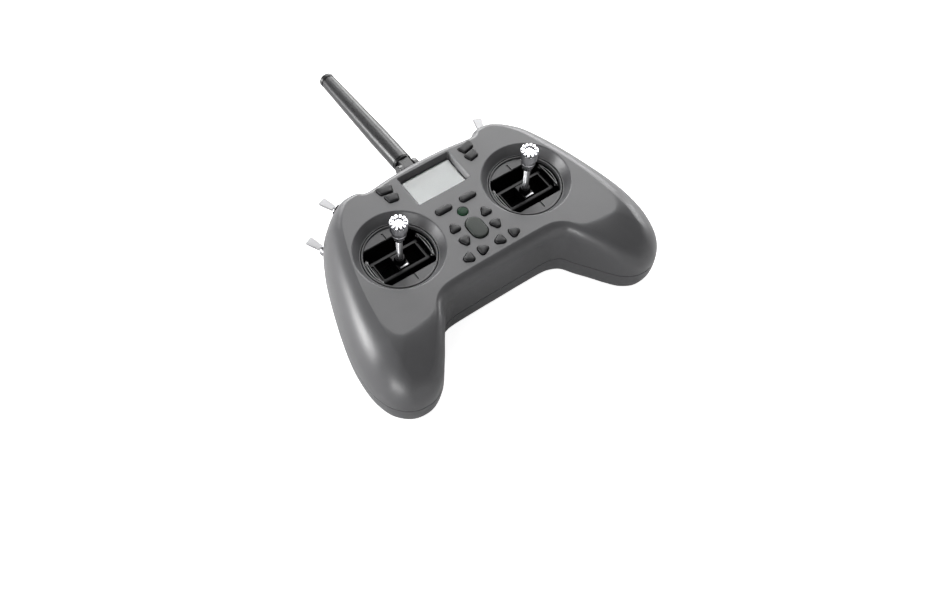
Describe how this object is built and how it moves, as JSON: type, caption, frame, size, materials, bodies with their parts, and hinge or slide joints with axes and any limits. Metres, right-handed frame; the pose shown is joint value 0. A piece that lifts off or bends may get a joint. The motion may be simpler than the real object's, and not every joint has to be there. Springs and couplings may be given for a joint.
{
  "type": "radio transmitter controller",
  "caption": "Hand-held radio transmitter with two gimbal sticks, a small screen, push keys, toggle switches and a folding rod antenna.",
  "frame": {"origin": "on the flat back of the casing, midway between the two stick axes", "axes": "+X to the user's right hand, +Y towards the antenna, +Z out of the control face"},
  "size_m": [0.1588, 0.1855, 0.0584],
  "materials": {
    "casing": "satin moulded grey",
    "key": "satin moulded dark grey",
    "black": "moulded black",
    "chrome": "polished plating",
    "steel": "bright zinc plating",
    "board": "solder-mask green",
    "rubber": "matt",
    "window": "clear",
    "display": "unlit grey display",
    "lamp": "translucent green",
    "mast": "satin dark grey",
    "cell": "shrink sleeve"
  },
  "bodies": {
    "body": {"upper_casing": "casing", "lower_casing": "casing", "gimbal_cover_left": "casing", "gimbal_cover_right": "casing", "casing_screws": "steel", "screen_window": "window", "display_module": "display", "main_board": "board", "keypad_mat": "rubber", "status_lamp": "lamp", "gimbal_frame_left": "black", "gimbal_clips_left": "steel", "switch_body_left_1": "chrome", "switch_body_left_2": "chrome", "gimbal_frame_right": "black", "gimbal_clips_right": "steel", "switch_body_right_1": "chrome", "switch_body_right_2": "chrome", "gimbal_screws": "steel", "switch_nuts": "black", "antenna_socket": "black", "battery_cells": "cell", "battery_contacts": "steel", "usb_port": "steel", "rf_module": "board"},
    "battery_door": {"battery_door": "casing"},
    "antenna_base": {"antenna_knuckle": "black", "antenna_pin": "steel"},
    "antenna": {"antenna_tube": "mast", "antenna_ring": "black", "antenna_cap": "mast"},
    "power_button": {"power_button": "key"},
    "page_key_left": {"page_key_left": "key"},
    "page_key_right": {"page_key_right": "key"},
    "menu_key_left_1": {"menu_key_left_1": "key"},
    "menu_key_left_2": {"menu_key_left_2": "key"},
    "menu_key_right_1": {"menu_key_right_1": "key"},
    "menu_key_right_2": {"menu_key_right_2": "key"},
    "trim_left_up": {"trim_left_up": "key"},
    "trim_left_down": {"trim_left_down": "key"},
    "trim_left_out": {"trim_left_out": "key"},
    "trim_left_in": {"trim_left_in": "key"},
    "trim_right_up": {"trim_right_up": "key"},
    "trim_right_down": {"trim_right_down": "key"},
    "trim_right_in": {"trim_right_in": "key"},
    "trim_right_out": {"trim_right_out": "key"},
    "yoke_left": {"yoke_left": "black"},
    "stick_left": {"stick_carrier_left": "black", "stick_shaft_left": "chrome", "stick_locknut_left": "chrome", "stick_head_left": "chrome"},
    "lever_left_1": {"switch_lever_left_1": "chrome"},
    "lever_left_2": {"switch_lever_left_2": "chrome"},
    "yoke_right": {"yoke_right": "black"},
    "stick_right": {"stick_carrier_right": "black", "stick_shaft_right": "chrome", "stick_locknut_right": "chrome", "stick_head_right": "chrome"},
    "lever_right_1": {"switch_lever_right_1": "chrome"},
    "lever_right_2": {"switch_lever_right_2": "chrome"}
  },
  "joints": [
    {"name": "power_button_press", "type": "slide", "parent": "body", "child": "power_button", "axis": [0, 0, -1], "range_m": [0, 0.0006], "stiffness_N_per_m": 1800},
    {"name": "page_key_left_press", "type": "slide", "parent": "body", "child": "page_key_left", "axis": [0, 0, -1], "range_m": [0, 0.0007], "stiffness_N_per_m": 1800},
    {"name": "page_key_right_press", "type": "slide", "parent": "body", "child": "page_key_right", "axis": [0, 0, -1], "range_m": [0, 0.0007], "stiffness_N_per_m": 1800},
    {"name": "menu_key_left_1_press", "type": "slide", "parent": "body", "child": "menu_key_left_1", "axis": [0, 0, -1], "range_m": [0, 0.0007], "stiffness_N_per_m": 1800},
    {"name": "menu_key_left_2_press", "type": "slide", "parent": "body", "child": "menu_key_left_2", "axis": [0, 0, -1], "range_m": [0, 0.0007], "stiffness_N_per_m": 1800},
    {"name": "menu_key_right_1_press", "type": "slide", "parent": "body", "child": "menu_key_right_1", "axis": [0, 0, -1], "range_m": [0, 0.0007], "stiffness_N_per_m": 1800},
    {"name": "menu_key_right_2_press", "type": "slide", "parent": "body", "child": "menu_key_right_2", "axis": [0, 0, -1], "range_m": [0, 0.0007], "stiffness_N_per_m": 1800},
    {"name": "trim_left_up_press", "type": "slide", "parent": "body", "child": "trim_left_up", "axis": [0, 0, -1], "range_m": [0, 0.0007], "stiffness_N_per_m": 1800},
    {"name": "trim_left_down_press", "type": "slide", "parent": "body", "child": "trim_left_down", "axis": [0, 0, -1], "range_m": [0, 0.0007], "stiffness_N_per_m": 1800},
    {"name": "trim_left_out_press", "type": "slide", "parent": "body", "child": "trim_left_out", "axis": [0, 0, -1], "range_m": [0, 0.0007], "stiffness_N_per_m": 1800},
    {"name": "trim_left_in_press", "type": "slide", "parent": "body", "child": "trim_left_in", "axis": [0, 0, -1], "range_m": [0, 0.0007], "stiffness_N_per_m": 1800},
    {"name": "trim_right_up_press", "type": "slide", "parent": "body", "child": "trim_right_up", "axis": [0, 0, -1], "range_m": [0, 0.0007], "stiffness_N_per_m": 1800},
    {"name": "trim_right_down_press", "type": "slide", "parent": "body", "child": "trim_right_down", "axis": [0, 0, -1], "range_m": [0, 0.0007], "stiffness_N_per_m": 1800},
    {"name": "trim_right_in_press", "type": "slide", "parent": "body", "child": "trim_right_in", "axis": [0, 0, -1], "range_m": [0, 0.0007], "stiffness_N_per_m": 1800},
    {"name": "trim_right_out_press", "type": "slide", "parent": "body", "child": "trim_right_out", "axis": [0, 0, -1], "range_m": [0, 0.0007], "stiffness_N_per_m": 1800},
    {"name": "battery_door_slide", "type": "slide", "parent": "body", "child": "battery_door", "axis": [0, -1, 0], "range_m": [0, 0.014]},
    {"name": "gimbal_left_fore_aft", "type": "hinge", "parent": "body", "child": "yoke_left", "pos_m": [-0.0357, 0, 0.0254], "axis": [1, 0, 0], "range_deg": [-22, 22]},
    {"name": "gimbal_left_sideways", "type": "hinge", "parent": "yoke_left", "child": "stick_left", "pos_m": [-0.0357, 0, 0.0254], "axis": [0, 1, 0], "range_deg": [-22, 22], "stiffness_Nm_per_rad": 0.05},
    {"name": "gimbal_right_fore_aft", "type": "hinge", "parent": "body", "child": "yoke_right", "pos_m": [0.0357, 0, 0.0254], "axis": [1, 0, 0], "range_deg": [-22, 22], "stiffness_Nm_per_rad": 0.05},
    {"name": "gimbal_right_sideways", "type": "hinge", "parent": "yoke_right", "child": "stick_right", "pos_m": [0.0357, 0, 0.0254], "axis": [0, 1, 0], "range_deg": [-22, 22], "stiffness_Nm_per_rad": 0.05},
    {"name": "lever_left_1_flick", "type": "hinge", "parent": "body", "child": "lever_left_1", "pos_m": [-0.04118, 0.04044, 0.0229], "axis": [0.9336, 0.3584, 0], "range_deg": [-13, 13]},
    {"name": "lever_left_2_flick", "type": "hinge", "parent": "body", "child": "lever_left_2", "pos_m": [-0.05618, 0.02864, 0.0164], "axis": [0.9336, 0.3584, 0], "range_deg": [-13, 13]},
    {"name": "lever_right_1_flick", "type": "hinge", "parent": "body", "child": "lever_right_1", "pos_m": [0.04118, 0.04044, 0.0229], "axis": [0.9336, -0.3584, 0], "range_deg": [-13, 13]},
    {"name": "lever_right_2_flick", "type": "hinge", "parent": "body", "child": "lever_right_2", "pos_m": [0.05618, 0.02864, 0.0164], "axis": [0.9336, -0.3584, 0], "range_deg": [-13, 13]},
    {"name": "antenna_swivel", "type": "hinge", "parent": "body", "child": "antenna_base", "pos_m": [0, 0.0452, 0.0211], "axis": [0, 1, 0], "range_deg": [-60, 60]},
    {"name": "antenna_fold", "type": "hinge", "parent": "antenna_base", "child": "antenna", "pos_m": [0, 0.0452, 0.0211], "axis": [1, 0, 0], "range_deg": [0, 90]}
  ]
}
